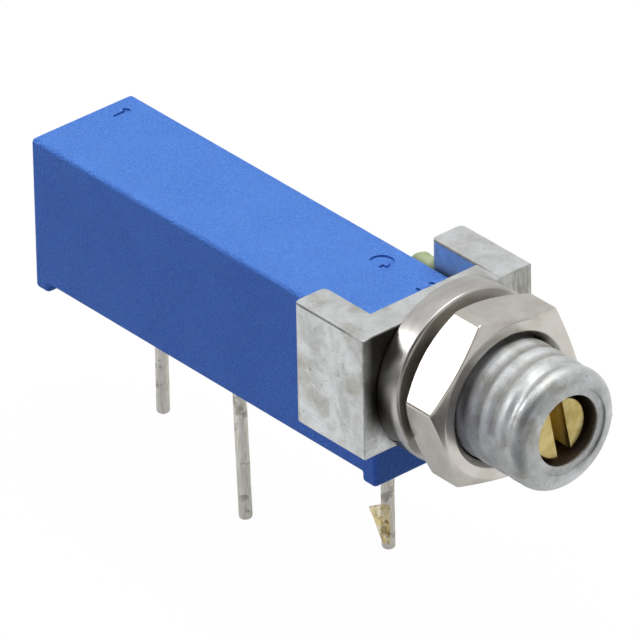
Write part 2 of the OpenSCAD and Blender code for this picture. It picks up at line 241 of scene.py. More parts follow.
def newGroup(name, inputs, outputs):
    # a shader group with a place in millimetres, inputs by their usual value, and plain numbers out
    tree = bpy.data.node_groups.new(name, "ShaderNodeTree")
    tree.interface.new_socket("Place", in_out="INPUT", socket_type="NodeSocketVector")
    for key, value in inputs.items():
        kind = "NodeSocketFloat" if isinstance(value, float) else "NodeSocketVector"
        tree.interface.new_socket(key, in_out="INPUT", socket_type=kind).default_value = value
    for key in outputs:
        tree.interface.new_socket(key, in_out="OUTPUT", socket_type="NodeSocketFloat")
    return tree, tree.nodes.new("NodeGroupInput").outputs, tree.nodes.new("NodeGroupOutput").inputs


def groupNoise(tree, place, size, part=1.0, **sockets):
    # size is a socket in millimetres, and part of a cycle lies along it
    scale = mathNode(tree, "DIVIDE", part, size)
    return addNode(tree, "ShaderNodeTexNoise", {"Vector": place, "Scale": scale, **sockets}).outputs[0]


def closeGroup(tree, out, **values):
    for key, value in values.items():
        tree.links.new(value, out[key])
    return tree


def makeGrain():
    # fine sandy grain of a moulded or fired surface
    tree, given, out = newGroup("sandyGrain", {"Size": 0.1, "Patch Size": 2.0}, ("Grain", "Patches"))
    fine = groupNoise(tree, given["Place"], given["Size"], Detail=3.0, Roughness=0.65)
    wide = groupNoise(tree, given["Place"], given["Patch Size"], Detail=2.0)
    return closeGroup(tree, out, Grain=ramp(tree, fine, 0.3, 0.7), Patches=ramp(tree, wide, 0.3, 0.7))


def makeCastMottle():
    # clouded skin of a die casting with small dark pits
    tree, given, out = newGroup("castMottle", {"Cloud Size": 0.8, "Pit Size": 0.25, "Pit Share": 0.3},
                                ("Clouds", "Pits", "Relief"))
    cloud = groupNoise(tree, given["Place"], given["Cloud Size"], Detail=5.0, Roughness=0.6, Distortion=0.4)
    pit = groupNoise(tree, given["Place"], given["Pit Size"], Detail=2.0, Roughness=0.5)
    clouds = ramp(tree, cloud, 0.32, 0.68)
    edge = mathNode(tree, "SUBTRACT", 0.72, product(tree, given["Pit Share"], 0.3))
    pits = ramp(tree, pit, edge, mathNode(tree, "ADD", edge, 0.08))
    relief = mathNode(tree, "SUBTRACT", product(tree, clouds, 0.4), pits)
    return closeGroup(tree, out, Clouds=clouds, Pits=pits, Relief=relief)


def makeScratches():
    # fine lines drawn out along one direction, from turning, wiping or drawing
    tree, given, out = newGroup("fineLines", {"Along": (1, 1, 1), "Size": 0.05}, ("Lines", "Smears"))
    drawn = addNode(tree, "ShaderNodeVectorMath", {0: given["Place"], 1: given["Along"]},
                    operation="MULTIPLY").outputs[0]
    lines = groupNoise(tree, drawn, given["Size"], Detail=3.0)
    smear = groupNoise(tree, drawn, given["Size"], 0.12, Detail=3.0)
    return closeGroup(tree, out, Lines=ramp(tree, lines, 0.3, 0.7), Smears=ramp(tree, smear, 0.35, 0.65))


groups = {"grain": makeGrain(), "mottle": makeCastMottle(), "lines": makeScratches()}


class Finish:
    # one material being built, with its shader, place in millimetres and short ways to add to it

    def __init__(self, slotName, **sockets):
        self.material = bpy.data.materials.new(slotName + "Finish")
        self.tree = emptyTree(self.material)
        output = self.tree.nodes.new("ShaderNodeOutputMaterial")
        self.shader = self.tree.nodes.new("ShaderNodeBsdfPrincipled")
        self.tree.links.new(self.shader.outputs[0], output.inputs[0])
        for key, value in sockets.items():
            self.shader.inputs[key.replace("_", " ")].default_value = value
        where = self.tree.nodes.new("ShaderNodeTexCoord")
        self.place = addNode(self.tree, "ShaderNodeVectorMath", {0: where.outputs["Object"], 3: 1000.0},
                             operation="SCALE").outputs[0]

    def group(self, name, **inputs):
        sockets = {key.replace("_", " "): value for key, value in inputs.items()}
        return addNode(self.tree, "ShaderNodeGroup", {"Place": self.place, **sockets},
                       node_tree=groups[name]).outputs

    def mix(self, factor, a, b):
        return addNode(self.tree, "ShaderNodeMix", {0: factor, 6: a, 7: b}, data_type="RGBA").outputs[2]

    def math(self, operation, *values):
        return mathNode(self.tree, operation, *values)

    def times(self, *values):
        return product(self.tree, *values)

    def scaled(self, value, share, start):
        return self.math("MULTIPLY_ADD", value, share, start)

    def tint(self, colour, mask, share, *other):
        # a share of another colour where the mask is
        return self.mix(self.times(mask, share), colour, tone(*other))

    def ramp(self, value, low, high, a=0.0, b=1.0):
        return ramp(self.tree, value, low, high, a, b)

    def axes(self):
        return addNode(self.tree, "ShaderNodeSeparateXYZ", {0: self.place}).outputs

    def noise(self, size, detail=2.0, offset=(0, 0, 0)):
        moved = addNode(self.tree, "ShaderNodeVectorMath", {0: self.place, 1: offset}, operation="ADD")
        return addNode(self.tree, "ShaderNodeTexNoise",
                       {"Vector": moved.outputs[0], "Scale": 1.0 / size, "Detail": detail}).outputs[0]

    def feed(self, **sockets):
        for key, value in sockets.items():
            self.tree.links.new(value, self.shader.inputs[key.replace("_", " ")])

    def relief(self, height, depth, strength=1.0):
        bump = addNode(self.tree, "ShaderNodeBump",
                       {"Height": height, "Distance": depth * mm, "Strength": strength})
        self.tree.links.new(bump.outputs[0], self.shader.inputs["Normal"])


def bluePlastic():
    f = Finish("blue_moulding", Roughness=0.55, Specular_IOR_Level=0.12)
    grain = f.group("grain", Size=0.075, Patch_Size=3.0)
    colour = f.mix(grain["Patches"], tone(64, 116, 208), tone(72, 123, 214))
    colour = f.tint(colour, grain["Grain"], 0.7, 108, 156, 228)
    # a few pale specks
    specks = f.ramp(f.noise(0.14, 1.0, (4, 2, 7)), 0.79, 0.82)
    f.feed(Base_Color=f.tint(colour, specks, 0.6, 170, 196, 236),
           Roughness=f.scaled(grain["Grain"], 0.12, 0.5))
    f.relief(grain["Grain"], 0.04, 1.0)
    return f.material


def sealResin():
    f = Finish("seal_resin", Roughness=0.6)
    grain = f.group("grain", Size=0.2, Patch_Size=2.5)
    f.feed(Base_Color=f.mix(grain["Patches"], tone(52, 78, 150), tone(66, 94, 168)),
           Roughness=f.scaled(grain["Grain"], 0.15, 0.5))
    f.relief(grain["Patches"], 0.05, 0.5)
    return f.material


# where the casting's marks and painted shade lie, in millimetres
castMarks = {"frontHalf": (0.03, 0.08), "farEnd": (2.2, 3.3), "washerShadeFrom": (-4.0, -3.5),
             "washerShadeTo": (-2.2, 0.0), "washerShadeRise": (-1.7, -0.5), "armOuter": (-3.93, -3.96), "armInner": 2.52,
             "armTop": (2.46, 2.49), "bushingFrom": (0.1, 0.4), "dullTo": (5.0, 5.5),
             "grooveRadius": (2.28, 2.35), "grooveTo": (5.2, 5.5), "mouthRadius": (1.48, 1.54),
             "mouthFrom": (4.2, 4.4), "mouthTo": (6.24, 6.12)}


def zincCasting():
    f, s = Finish("zinc_casting", Metallic=1.0), castMarks
    mottle = f.group("mottle", Cloud_Size=0.9, Pit_Size=0.13, Pit_Share=0.2)
    grain = f.group("grain", Size=0.09, Patch_Size=1.6)
    colour = f.mix(mottle["Clouds"], tone(188, 190, 187), tone(218, 221, 222))
    colour = f.tint(colour, grain["Grain"], 0.35, 226, 229, 230)
    colour = f.tint(colour, f.ramp(f.noise(1.3, 4.0, (9, 5, 3)), 0.5, 0.7), 0.5, 148, 140, 122)
    colour = f.tint(colour, mottle["Pits"], 0.45, 112, 108, 100)
    # brown streaks down the far end of the plate's front
    lines = f.group("lines", Along=(1.0, 1.0, 0.1), Size=0.12)
    x, y, z = f.axes()
    near, off = s["frontHalf"]
    front = f.times(f.ramp(x, -off, -near), f.ramp(x, near, off, 1.0, 0.0))
    streaks = f.times(front, f.ramp(y, *s["farEnd"]), f.scaled(lines["Lines"], 0.35, 0.3))
    colour = f.mix(streaks, colour, tone(104, 96, 76))
    # brown painted shade on the plate's front beside the washer, weaker low down
    washerShade = f.times(front, f.ramp(y, *s["washerShadeFrom"]), f.ramp(y, *s["washerShadeTo"], 0.9, 0.0))
    colour = f.tint(colour, washerShade, f.ramp(z, *s["washerShadeRise"]), 54, 47, 38)
    # painted shade: dark lines along the arms' top edges, which are also rougher there
    inner = f.math("ABSOLUTE", f.math("SUBTRACT", y, s["armInner"]))
    line = f.math("ADD", f.ramp(y, *s["armOuter"]), f.ramp(inner, 0.02, 0.05, 1.0, 0.0))
    line = f.times(line, f.ramp(z, *s["armTop"]), f.ramp(x, -1.2, -0.1, 1.0, 0.3))
    colour = f.tint(colour, line, 0.7, 92, 88, 80)
    rough = f.scaled(mottle["Clouds"], -0.1, 0.43)
    # the bushing came out of the mould duller
    bushing = f.ramp(x, *s["bushingFrom"])
    dull = f.times(bushing, f.ramp(x, *s["dullTo"], 1.0, 0.3))
    rough = f.scaled(dull, 0.25, rough)
    colour = f.tint(colour, bushing, 0.1, 120, 120, 116)
    # the thread's grooves are darker, and the mouth's wall is brown
    across = addNode(f.tree, "ShaderNodeVectorMath", {0: f.place, 1: (0, 1, 1)}, operation="MULTIPLY")
    fromAxis = addNode(f.tree, "ShaderNodeVectorMath", {0: across.outputs[0]}, operation="LENGTH")
    fromAxis = fromAxis.outputs["Value"]
    grooves = f.times(f.ramp(fromAxis, *s["grooveRadius"], 0.45, 0.0), bushing)
    colour = f.tint(colour, grooves, f.ramp(x, *s["grooveTo"], 1.0, 0.0), 116, 110, 98)
    wall = f.times(f.ramp(fromAxis, *s["mouthRadius"], 1.0, 0.0), f.ramp(x, *s["mouthTo"]))
    colour = f.tint(colour, wall, f.ramp(x, *s["mouthFrom"], 0.0, 0.8), 92, 66, 38)
    f.feed(Base_Color=colour, Roughness=f.scaled(line, 0.3, rough), Metallic=f.scaled(dull, -0.2, 1.0))
    f.relief(f.scaled(grain["Grain"], 0.5, mottle["Relief"]), 0.014, 0.6)
    return f.material


def platedNut():
    f = Finish("plated_nut", Metallic=1.0)
    lines = f.group("lines", Size=0.12)
    f.feed(Base_Color=f.mix(lines["Smears"], tone(199, 194, 186), tone(211, 207, 200)),
           Roughness=f.scaled(lines["Lines"], 0.02, 0.25))
    f.relief(lines["Smears"], 0.002, 0.15)
    return f.material


def platedSteel():
    f = Finish("plated_steel", Metallic=1.0)
    lines = f.group("lines", Along=(3.0, 0.8, 0.8), Size=0.1)
    colour = f.mix(lines["Smears"], tone(183, 181, 178), tone(193, 191, 187))
    # painted shade low on the washer, back from its front edge
    x, y, z = f.axes()
    washerLowShade = f.ramp(x, 0.7, 1.0, 0.9, 0.0)
    f.feed(Base_Color=f.tint(colour, washerLowShade, f.ramp(z, -0.2, 1.3, 1.0, 0.0), 74, 68, 60),
           Roughness=f.scaled(lines["Smears"], 0.04, 0.3))
    f.relief(lines["Smears"], 0.003, 0.3)
    return f.material


def tinnedPin():
    f = Finish("tinned_pin", Metallic=0.6)
    lines = f.group("lines", Along=(1.0, 1.0, 0.12), Size=0.06)
    stains = f.ramp(f.noise(0.6, 3.0), 0.56, 0.64)
    colour = f.mix(lines["Lines"], tone(226, 221, 198), tone(255, 252, 238))
    f.feed(Base_Color=f.tint(colour, stains, 0.5, 124, 112, 82),
           Roughness=f.scaled(lines["Lines"], 0.12, 0.34))
    f.relief(lines["Lines"], 0.006, 0.5)
    return f.material


def brass(slotName, light, dark, rough, face=None):
    f = Finish(slotName, Metallic=1.0)
    lines = f.group("lines", Along=(0.4, 1.0, 1.0), Size=0.07)
    colour = f.mix(lines["Smears"], dark, light)
    if face:
        # painted light: behind the turned face the slot's floor is a bright gold and less metallic, which
        # lightens it in its shade
        slot = f.ramp(f.axes()[0], face - 0.4, face - 0.05, 1.0, 0.0)
        colour = f.mix(slot, colour, tone(255, 228, 116))
        f.feed(Metallic=f.scaled(slot, -0.9, 1.0))
    f.feed(Base_Color=colour, Roughness=f.scaled(lines["Lines"], 0.1, rough))
    f.relief(lines["Lines"], 0.003, 0.5)
    return f.material


def tanResin():
    f = Finish("tan_resin", Roughness=0.35, Transmission_Weight=0.85, IOR=1.3)
    spots = f.ramp(f.noise(0.16, 3.0), 0.56, 0.66)
    clouds = f.ramp(f.noise(0.5, 2.0, (3, 1, 2)), 0.35, 0.65)
    colour = f.mix(clouds, tone(232, 214, 158), tone(246, 240, 220))
    f.feed(Base_Color=f.tint(colour, spots, 0.7, 104, 86, 52))
    f.relief(spots, 0.02, 0.5)
    return f.material


def beadResin():
    f = Finish("adhesive", Roughness=0.4)
    clouds = f.ramp(f.noise(0.6, 3.0), 0.35, 0.65)
    f.feed(Base_Color=f.mix(clouds, tone(124, 140, 86), tone(152, 164, 124)))
    f.relief(clouds, 0.03, 0.5)
    return f.material


def matt(slotName, dark, light, grainSize, patchSize, rough, metallic):
    f = Finish(slotName, Metallic=metallic)
    grain = f.group("grain", Size=grainSize, Patch_Size=patchSize)
    f.feed(Base_Color=f.mix(grain["Patches"], tone(*dark), tone(*light)),
           Roughness=f.scaled(grain["Grain"], 0.15, rough))
    f.relief(grain["Grain"], 0.006, 0.5)
    return f.material


shaftFace = 5.93
finishes = {
    "blue_moulding": bluePlastic(),
    "seal_resin": sealResin(),
    "zinc_casting": zincCasting(),
    "plated_nut": platedNut(),
    "plated_steel": platedSteel(),
    "tinned_pin": tinnedPin(),
    "screw_brass": brass("screw_brass", tone(206, 176, 104), tone(176, 144, 76), 0.28),
    "shaft_brass": brass("shaft_brass", tone(214, 197, 136), tone(196, 174, 106), 0.3, shaftFace),
    "tan_resin": tanResin(),
    "adhesive": beadResin(),
}
# matt finishes: dark, light, size of the grain and of the patches, roughness, metallic
matts = {"ceramic": ((226, 223, 214), (238, 236, 228), 0.08, 3.0, 0.55, 0.0),
         "resistive_ink": ((34, 34, 34), (48, 46, 44), 0.05, 1.0, 0.5, 0.0),
         "conductor_ink": ((176, 174, 166), (200, 198, 190), 0.05, 1.0, 0.4, 0.9),
         "solder": ((168, 168, 168), (198, 198, 196), 0.1, 0.5, 0.25, 1.0),
         "seal_rubber": ((26, 26, 26), (38, 38, 38), 0.05, 1.0, 0.5, 0.0),
         "spring_metal": ((178, 172, 158), (204, 198, 184), 0.06, 1.5, 0.22, 1.0),
         "carriage_plastic": ((214, 210, 198), (228, 225, 215), 0.08, 2.0, 0.5, 0.0)}
finishes.update({slotName: matt(slotName, *look) for slotName, look in matts.items()})
print("finishes made:", len(finishes))


# the tree that cuts a helical thread into a turned wall

threadLengths = ("Pitch", "Depth", "Start", "End", "Fade In", "Fade Out")
threadShares = ("Phase", "Groove Share", "Seam Angle", "Seam Half Width")
seamDepth = 0.3  # of the groove's depth, left at the mould's seam


def makeThreadTree():
    tree = bpy.data.node_groups.new("cutThread", "GeometryNodeTree")
    tree.interface.new_socket("Geometry", in_out="INPUT", socket_type="NodeSocketGeometry")
    for key in threadLengths + threadShares:
        tree.interface.new_socket(key, in_out="INPUT", socket_type="NodeSocketFloat")
    tree.interface.new_socket("Finish", in_out="INPUT", socket_type="NodeSocketMaterial")
    tree.interface.new_socket("Geometry", in_out="OUTPUT", socket_type="NodeSocketGeometry")
    given = tree.nodes.new("NodeGroupInput").outputs
    out = tree.nodes.new("NodeGroupOutput").inputs

    calc = partial(mathNode, tree)
    position = tree.nodes.new("GeometryNodeInputPosition").outputs[0]
    x, y, z = addNode(tree, "ShaderNodeSeparateXYZ", {0: position}).outputs
    angle = calc("ARCTAN2", z, y)
    turns = calc("SUBTRACT", calc("DIVIDE", x, given["Pitch"]), calc("DIVIDE", angle, 2 * math.pi))
    share = calc("FRACT", calc("ADD", turns, given["Phase"]))
    fromGroove = calc("ABSOLUTE", calc("MULTIPLY_ADD", share, 2.0, -1.0))
    groove = ramp(tree, fromGroove, 0.0, given["Groove Share"], 1.0, 0.0)
    fadeIn = ramp(tree, x, given["Start"], calc("ADD", given["Start"], given["Fade In"]))
    fadeOut = ramp(tree, x, calc("SUBTRACT", given["End"], given["Fade Out"]), given["End"], 1.0, 0.0)
    wall = addNode(tree, "GeometryNodeInputNamedAttribute", {"Name": "threadWall"}, data_type="FLOAT")
    # the mould's halves leave the grooves shallower in a band on two opposite sides
    offSeam = calc("WRAP", calc("SUBTRACT", angle, given["Seam Angle"]), math.pi / 2, -math.pi / 2)
    clear = ramp(tree, calc("ABSOLUTE", offSeam), calc("SUBTRACT", given["Seam Half Width"], 0.14),
                 calc("ADD", given["Seam Half Width"], 0.06), seamDepth, 1.0)
    depth = product(tree, groove, fadeIn, fadeOut, wall.outputs[0], clear, given["Depth"])
    radius = calc("SQRT", calc("ADD", calc("MULTIPLY", y, y), calc("MULTIPLY", z, z)))
    scale = calc("SUBTRACT", 1.0, calc("DIVIDE", depth, radius))
    moved = addNode(tree, "ShaderNodeCombineXYZ",
                    {0: x, 1: calc("MULTIPLY", y, scale), 2: calc("MULTIPLY", z, scale)})
    setPlace = addNode(tree, "GeometryNodeSetPosition",
                       {"Geometry": given["Geometry"], "Position": moved.outputs[0]})
    whole = addNode(tree, "GeometryNodeRealizeInstances", {"Geometry": setPlace.outputs[0]})
    finish = addNode(tree, "GeometryNodeSetMaterial",
                     {"Geometry": whole.outputs[0], "Material": given["Finish"]})
    tree.links.new(finish.outputs[0], out["Geometry"])
    return tree


threadTree = makeThreadTree()


def cutThread(obj, wallRings, ringSize, finish, **sizes):
    # wallRings are the rings of the mesh that carry the thread; lengths in millimetres
    wall = obj.data.attributes.new("threadWall", "FLOAT", "POINT")
    values = np.zeros(len(obj.data.vertices), np.float32)
    for ring in wallRings:
        values[ring * ringSize:(ring + 1) * ringSize] = 1.0
    wall.data.foreach_set("value", values)
    modifier = obj.modifiers.new("thread", "NODES")
    modifier.node_group = threadTree
    for item in threadTree.interface.items_tree:
        given = sizes.get(item.name.replace(" ", "_"))
        if item.in_out == "INPUT" and given is not None:
            modifier[item.identifier] = given * mm if item.name in threadLengths else given
        elif item.name == "Finish":
            modifier[item.identifier] = finish
    plainMesh(obj)
    left = obj.data.attributes.get("threadWall")
    if left:
        obj.data.attributes.remove(left)


# housing with its feet and moulded marks

housingSizes = {"edge": 0.26, "footHeight": 0.38, "footLength": 0.76, "wall": 0.5, "ledge": 0.16,
                "topWall": 0.5, "rearWall": 0.9, "frontWall": 2.6, "plateTop": -2.15, "screwBore": 1.24,
                "markHeight": 0.78, "markDepth": 0.085, "markStroke": 0.16,
                "oneAt": (-19.53, 1.22), "threeAt": (-2.62, 1.28), "arrowAt": (-5.05, 1.28),
                "arrowRadius": 0.4}


def strokeCutter(line, width, at, top, depth):
    # a prism along a centre line, as wide as the stroke; reads along X with its top towards +Y
    points = [np.array(p, float) for p in line]
    left, right = [], []
    for i, p in enumerate(points):
        way = points[min(i + 1, len(points) - 1)] - points[max(i - 1, 0)]
        side = np.array([-way[1], way[0]]) / np.linalg.norm(way) * width / 2
        left.append(tuple(np.array(at) + p + side))
        right.append(tuple(np.array(at) + p - side))
    return prism("stroke", left + right[::-1], top - depth, top + 0.3, 2)


def polar(cx, cy, r, degrees):
    return cx + r * math.cos(math.radians(degrees)), cy + r * math.sin(math.radians(degrees))


def arc(cx, cy, r, start, end):
    return [polar(cx, cy, r, a) for a in np.linspace(start, end, 16)]


def markCutters(s, top):
    h = s["markHeight"] / 2
    strokes = [(s["oneAt"], [(0.05, -h), (0.05, h)]), (s["oneAt"], [(0.09, h - 0.04), (-0.14, h - 0.17)]),
               (s["threeAt"], arc(0, h / 2 + 0.01, h / 2 - 0.03, 160, -90)),
               (s["threeAt"], arc(0, -h / 2 + 0.02, h / 2 - 0.02, 90, -160)),
               (s["arrowAt"], arc(0, 0, s["arrowRadius"], 215, -20))]
    cutters = [strokeCutter(line, s["markStroke"], at, top, s["markDepth"]) for at, line in strokes]
    # the arrow's head, for the way that the screw turns
    r, reach = s["arrowRadius"], s["markStroke"] * 1.5
    head = [polar(*s["arrowAt"], r + reach, -16), polar(*s["arrowAt"], r, -62),
            polar(*s["arrowAt"], r - reach, -16)]
    return cutters + [prism("arrowHead", head, top - s["markDepth"], top + 0.3, 2)]


def buildHousing():
    s = housingSizes
    low, high = (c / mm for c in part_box("housing"))
    rim, first, last = low.z + s["footHeight"], low.x + s["footLength"], high.x - s["footLength"]
    outline = [(low.x, low.z), (first, low.z), (first, rim), (last, rim), (last, low.z), (high.x, low.z),
               (high.x, high.z), (low.x, high.z)]
    body = prism("mouldedHousing", outline, low.y, high.y, 1)
    roundEdges(body, s["edge"], 5)
    x = (low.x + s["rearWall"], high.x - s["frontWall"])
    half = high.y - s["wall"]
    inner = half - s["ledge"]
    cutters = [box("cavityLow", x, (-half, half), (rim - 1, s["plateTop"])),
               box("cavityHigh", x, (-inner, inner), (s["plateTop"] - 0.5, high.z - s["topWall"])),
               rod("screwBore", s["screwBore"], x[1] - 0.5, high.x + 0.5, 48)]
    cutAway(body, *cutters, *markCutters(s, high.z))
    smoothShade(body, 30)
    fitPiece(body, "base", "blue_moulding", "housing")


# die-cast bracket with its threaded bushing

bracketSizes = {"plate": 1.3, "width": 7.99, "top": 2.54, "height": 4.95, "arm": 2.47, "gap": 0.09,
                "edge": 0.06, "armEnd": 0.3, "hole": 2.3}
bushingSizes = {"radius": 2.38, "length": 6.35, "tipRound": 0.48, "mouth": 1.37, "mouthLength": 1.8,
                "step": 1.69, "stepDepth": 0.08, "mouthShift": 0.1, "bore": 1.24, "collarRoom": 1.71,
                "collarEnd": -0.52, "rear": -1.26, "pitch": 0.79375, "threadDepth": 0.1,
                "threadStart": 0.1, "threadEnd": 5.95, "phase": 0.8, "grooveShare": 0.85,
                "seamAngle": 197, "seamHalf": 23, "flashAngle": -8, "flashAt": 6.0, "flashHigh": 0.09,
                "flashHalf": 4.5, "flashReach": 0.22, "around": 240}


def buildBracket():
    s = bracketSizes
    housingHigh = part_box("housing")[1] / mm
    inner, out, rear = housingHigh.y + s["gap"], s["width"] / 2, -s["plate"] - s["arm"]
    outline = [(0, -out), (0, out), (rear, out), (rear, inner), (-s["plate"], inner),
               (-s["plate"], -inner), (rear, -inner), (rear, -out)]
    # the arms' ends are well rounded
    e = s["armEnd"]
    outline = softCorners(outline[-1:] + outline + outline[:1], [0, 0, e, e, 0, 0, e, e], 5)[1:-1]
    body = prism("castBracket", outline, s["top"] - s["height"], s["top"], 2)
    roundEdges(body, s["edge"], 4)
    cutAway(body, rod("bushingHole", s["hole"], -s["plate"] - 1, 1, 96))
    smoothShade(body, 35)
    joinShells(body, buildBushing())
    fitPiece(body, "base", "zinc_casting", "mounting_bracket")


def buildBushing():
    s = bushingSizes
    r, tip = s["radius"], s["length"]
    wall = [(x, r) for x in np.arange(0.0, tip - s["tipRound"] - 0.01, 0.035)]
    e, ledge, throat = s["tipRound"], tip - s["stepDepth"], tip - s["mouthLength"]
    tipArc = [(tip - e + e * math.sin(a), r - e + e * math.cos(a)) for a in np.linspace(0, math.pi / 2, 7)]
    mouth = softCorners([tipArc[-1], (tip, s["step"]), (ledge, s["step"]), (ledge, s["mouth"]),
                         (throat, s["mouth"]), (throat, s["bore"]), (s["collarEnd"], s["bore"]),
                         (s["collarEnd"], s["collarRoom"]), (s["rear"], s["collarRoom"]), (s["rear"], r)],
                        [0.03, 0.02, 0.05, 0, 0, 0, 0, 0])
    profile = wall + tipArc + mouth[1:]
    shell = skin("bushing", turnedRings(profile, s["around"]), loop=True)
    cutThread(shell, range(len(wall)), s["around"], finishes["zinc_casting"], Pitch=s["pitch"],
              Depth=s["threadDepth"], Start=s["threadStart"], End=s["threadEnd"],
              Fade_In=0.4, Fade_Out=0.15, Phase=s["phase"], Groove_Share=s["grooveShare"],
              Seam_Angle=math.radians(s["seamAngle"]), Seam_Half_Width=math.radians(s["seamHalf"]))
    # the mouth is a little off centre, and a spot of flash stands beside the tip where the mould's halves met
    for v in shell.data.vertices:
        x, y, z = v.co / mm
        if x > throat + 0.01 and math.hypot(y, z) < s["step"] + 0.05:
            v.co.y += s["mouthShift"] * mm
        off = (math.degrees(math.atan2(z, y)) - s["flashAngle"]) / s["flashHalf"]
        along = (x - s["flashAt"]) / s["flashReach"]
        rise = s["flashHigh"] * max(1 - off * off, 0) * max(1 - along * along, 0)
        if rise > 0 and math.hypot(y, z) > s["step"] + 0.3:
            v.co.y *= 1 + rise / s["radius"]
            v.co.z *= 1 + rise / s["radius"]
    return smoothShade(shell, 50, weighted=False)


# hexagon nut

nutSizes = {"flats": 6.35, "thickness": 2.22, "rear": 1.08, "turn": 49.5, "face": 3.05, "seat": 2.65,
            "frontSlope": 19, "rearSlope": 36, "bore": 2.44, "sink": 0.2, "rearSink": 0.08,
            "cornerRound": 0.2, "cornerAngle": 1.59, "rimRound": 0.05, "pitch": 0.79375, "threadDepth": -0.16}


def buildNut():
    s = nutSizes
    # places round the nut: every 1.5 degrees, and closer at the round corners
    near = [0, 0.4, 0.8, 1.2, 1.6, 2.1]
    even = {round(s["turn"] + 1.5 * k, 3) for k in range(240) if 2.2 < k % 40 * 1.5 < 57.8}
    turns = sorted({round(s["turn"] + 60 * k + sign * d, 3) for k in range(6) for d in near
                    for sign in (-1, 1)} | even)
    centre = (s["flats"] / 2 - s["cornerRound"]) / math.cos(math.radians(30))
    hexRadius = []
    for a in turns:
        off = (a - s["turn"] + 30) % 60 - 30
        flat = s["flats"] / 2 / math.cos(math.radians(30 - abs(off)))
        side = centre * math.sin(math.radians(off))
        corner = centre * math.cos(math.radians(off)) + math.sqrt(max(s["cornerRound"] ** 2 - side ** 2, 0))
        hexRadius.append(min(flat, corner) if abs(off) < s["cornerAngle"] else flat)
    angles, reach = np.radians(turns), np.array(hexRadius)

    def ring(x, r):
        x, r = np.broadcast_to(x, reach.shape), np.broadcast_to(r, reach.shape)
        return np.stack([x, r * np.cos(angles), r * np.sin(angles)], axis=1)

    def cap(side):
        # rings from the bore out to the edge on the front face (1) or the rear face (-1)
        flatX = s["rear"] + s["thickness"] if side > 0 else s["rear"]
        face, sink = (s["face"], s["sink"]) if side > 0 else (s["seat"], s["rearSink"])
        slope = math.tan(math.radians(s["frontSlope"] if side > 0 else s["rearSlope"]))

        def drop(r):
            return flatX - side * np.maximum(r - face, 0) * slope

        rings = [ring(flatX - side * sink, s["bore"]), ring(flatX - side * 0.02, s["bore"] + sink - 0.02),
                 ring(flatX, s["bore"] + sink + 0.02), ring(flatX, face - 0.05)]
        rings += [ring(flatX - side * 0.001, face - 0.01), ring(drop(face + 0.02), face + 0.02)]
        start = face + 0.06
        for share in (0.0, 0.33, 0.66, 1.0):
            r = start + (reach - s["rimRound"] - start) * share
            rings.append(ring(drop(r), r))
        r = reach - s["rimRound"] * 0.3
        rings.append(ring(drop(r) - side * 0.008, r))
        rings.append(ring(drop(reach) - side * s["rimRound"], reach))
        return rings

    front, rear = cap(1), cap(-1)
    walls = [ring(front[-1][:, 0] * (1 - t) + rear[-1][:, 0] * t, reach) for t in (0.25, 0.5, 0.75)]
    boreX = np.arange(s["rear"] + s["sink"] + 0.03, s["rear"] + s["thickness"] - s["sink"], 0.035)
    rings = front + walls + rear[::-1] + [ring(x, s["bore"]) for x in boreX]
    nut = skin("hexNut", rings, loop=True)
    first = len(front + walls + rear)
    cutThread(nut, range(first, len(rings)), len(turns), finishes["plated_nut"], Pitch=s["pitch"],
              Depth=s["threadDepth"], Start=s["rear"] + s["sink"] * 0.5,
              End=s["rear"] + s["thickness"] - s["sink"] * 0.5, Fade_In=0.2, Fade_Out=0.2,
              Phase=bushingSizes["phase"] + 0.5, Groove_Share=0.9, Seam_Half_Width=-1.0)
    smoothShade(nut, 14)
    fitPiece(nut, "nut", "plated_nut", "panel_nut")


# split lock washer

washerSizes = {"bore": 2.44, "radius": 3.43, "thickness": 1.08, "edge": 0.1, "splitAt": 211.5,
               "splitWidth": 0.12, "slant": 28, "lift": 0.3, "liftFrom": 145, "flatRim": 0.25, "around": 240}


def buildWasher():
    s = washerSizes
    e, t = s["edge"], s["thickness"]
    section = []
    for cx, cr, start in ((t - e, s["radius"] - e, 0), (e, s["radius"] - e, 90), (e, s["bore"] + e, 180),
                          (t - e, s["bore"] + e, 270)):
        for a in np.radians(np.linspace(start, start + 90, 7)):
            section.append((cx + e * math.cos(a), cr + e * math.sin(a)))
    half = math.degrees(s["splitWidth"] / 2 / s["radius"] / math.cos(math.radians(s["slant"])))
    mid = (s["bore"] + s["radius"]) / 2
    rings = []
    for sweep in np.linspace(s["splitAt"] + half, s["splitAt"] + 360 - half, s["around"]):
        ring = []
        # one end of the split springs forwards where the nut's chamfer leaves it room
        near = min(max((sweep - 360 - s["liftFrom"]) / (s["splitAt"] - s["liftFrom"]), 0), 1)
        for x, r in section:
            a = math.radians(sweep) - (x - t / 2) * math.tan(math.radians(s["slant"])) / mid
            out = min(max((r - s["bore"] - s["flatRim"]) / (s["radius"] - s["bore"] - s["flatRim"]), 0), 1)
            ring.append((x + s["lift"] * near ** 1.5 * out * x / t, r * math.cos(a), r * math.sin(a)))
        rings.append(ring)
    washer = skin("splitWasher", rings)
    smoothShade(washer, 40)
    fitPiece(washer, "washer", "plated_steel", "lock_washer")


# slotted shaft and the lead screw behind it

shaftSizes = {"face": shaftFace, "radius": 1.18, "collar": 1.65, "collarRear": -1.24, "collarFront": -0.58,
              "slotWidth": 0.64, "slotDepth": 1.0, "turn": 10.8, "tongue": 0.5, "tongueReach": 1.1,
              "tongueRear": -1.89}
screwSizes = {"head": 1.18, "headFront": -1.35, "headRear": -3.15, "neck": 0.62, "stopRadius": 0.85,
              "stopFront": -4.27, "stopRear": -4.72, "thread": 0.55, "rear": -19.39, "journal": 0.35,
              "journalEnd": -19.81, "pitch": 0.762, "depth": 0.13, "slot": 0.62, "slotDepth": 0.6,
              "around": 64}


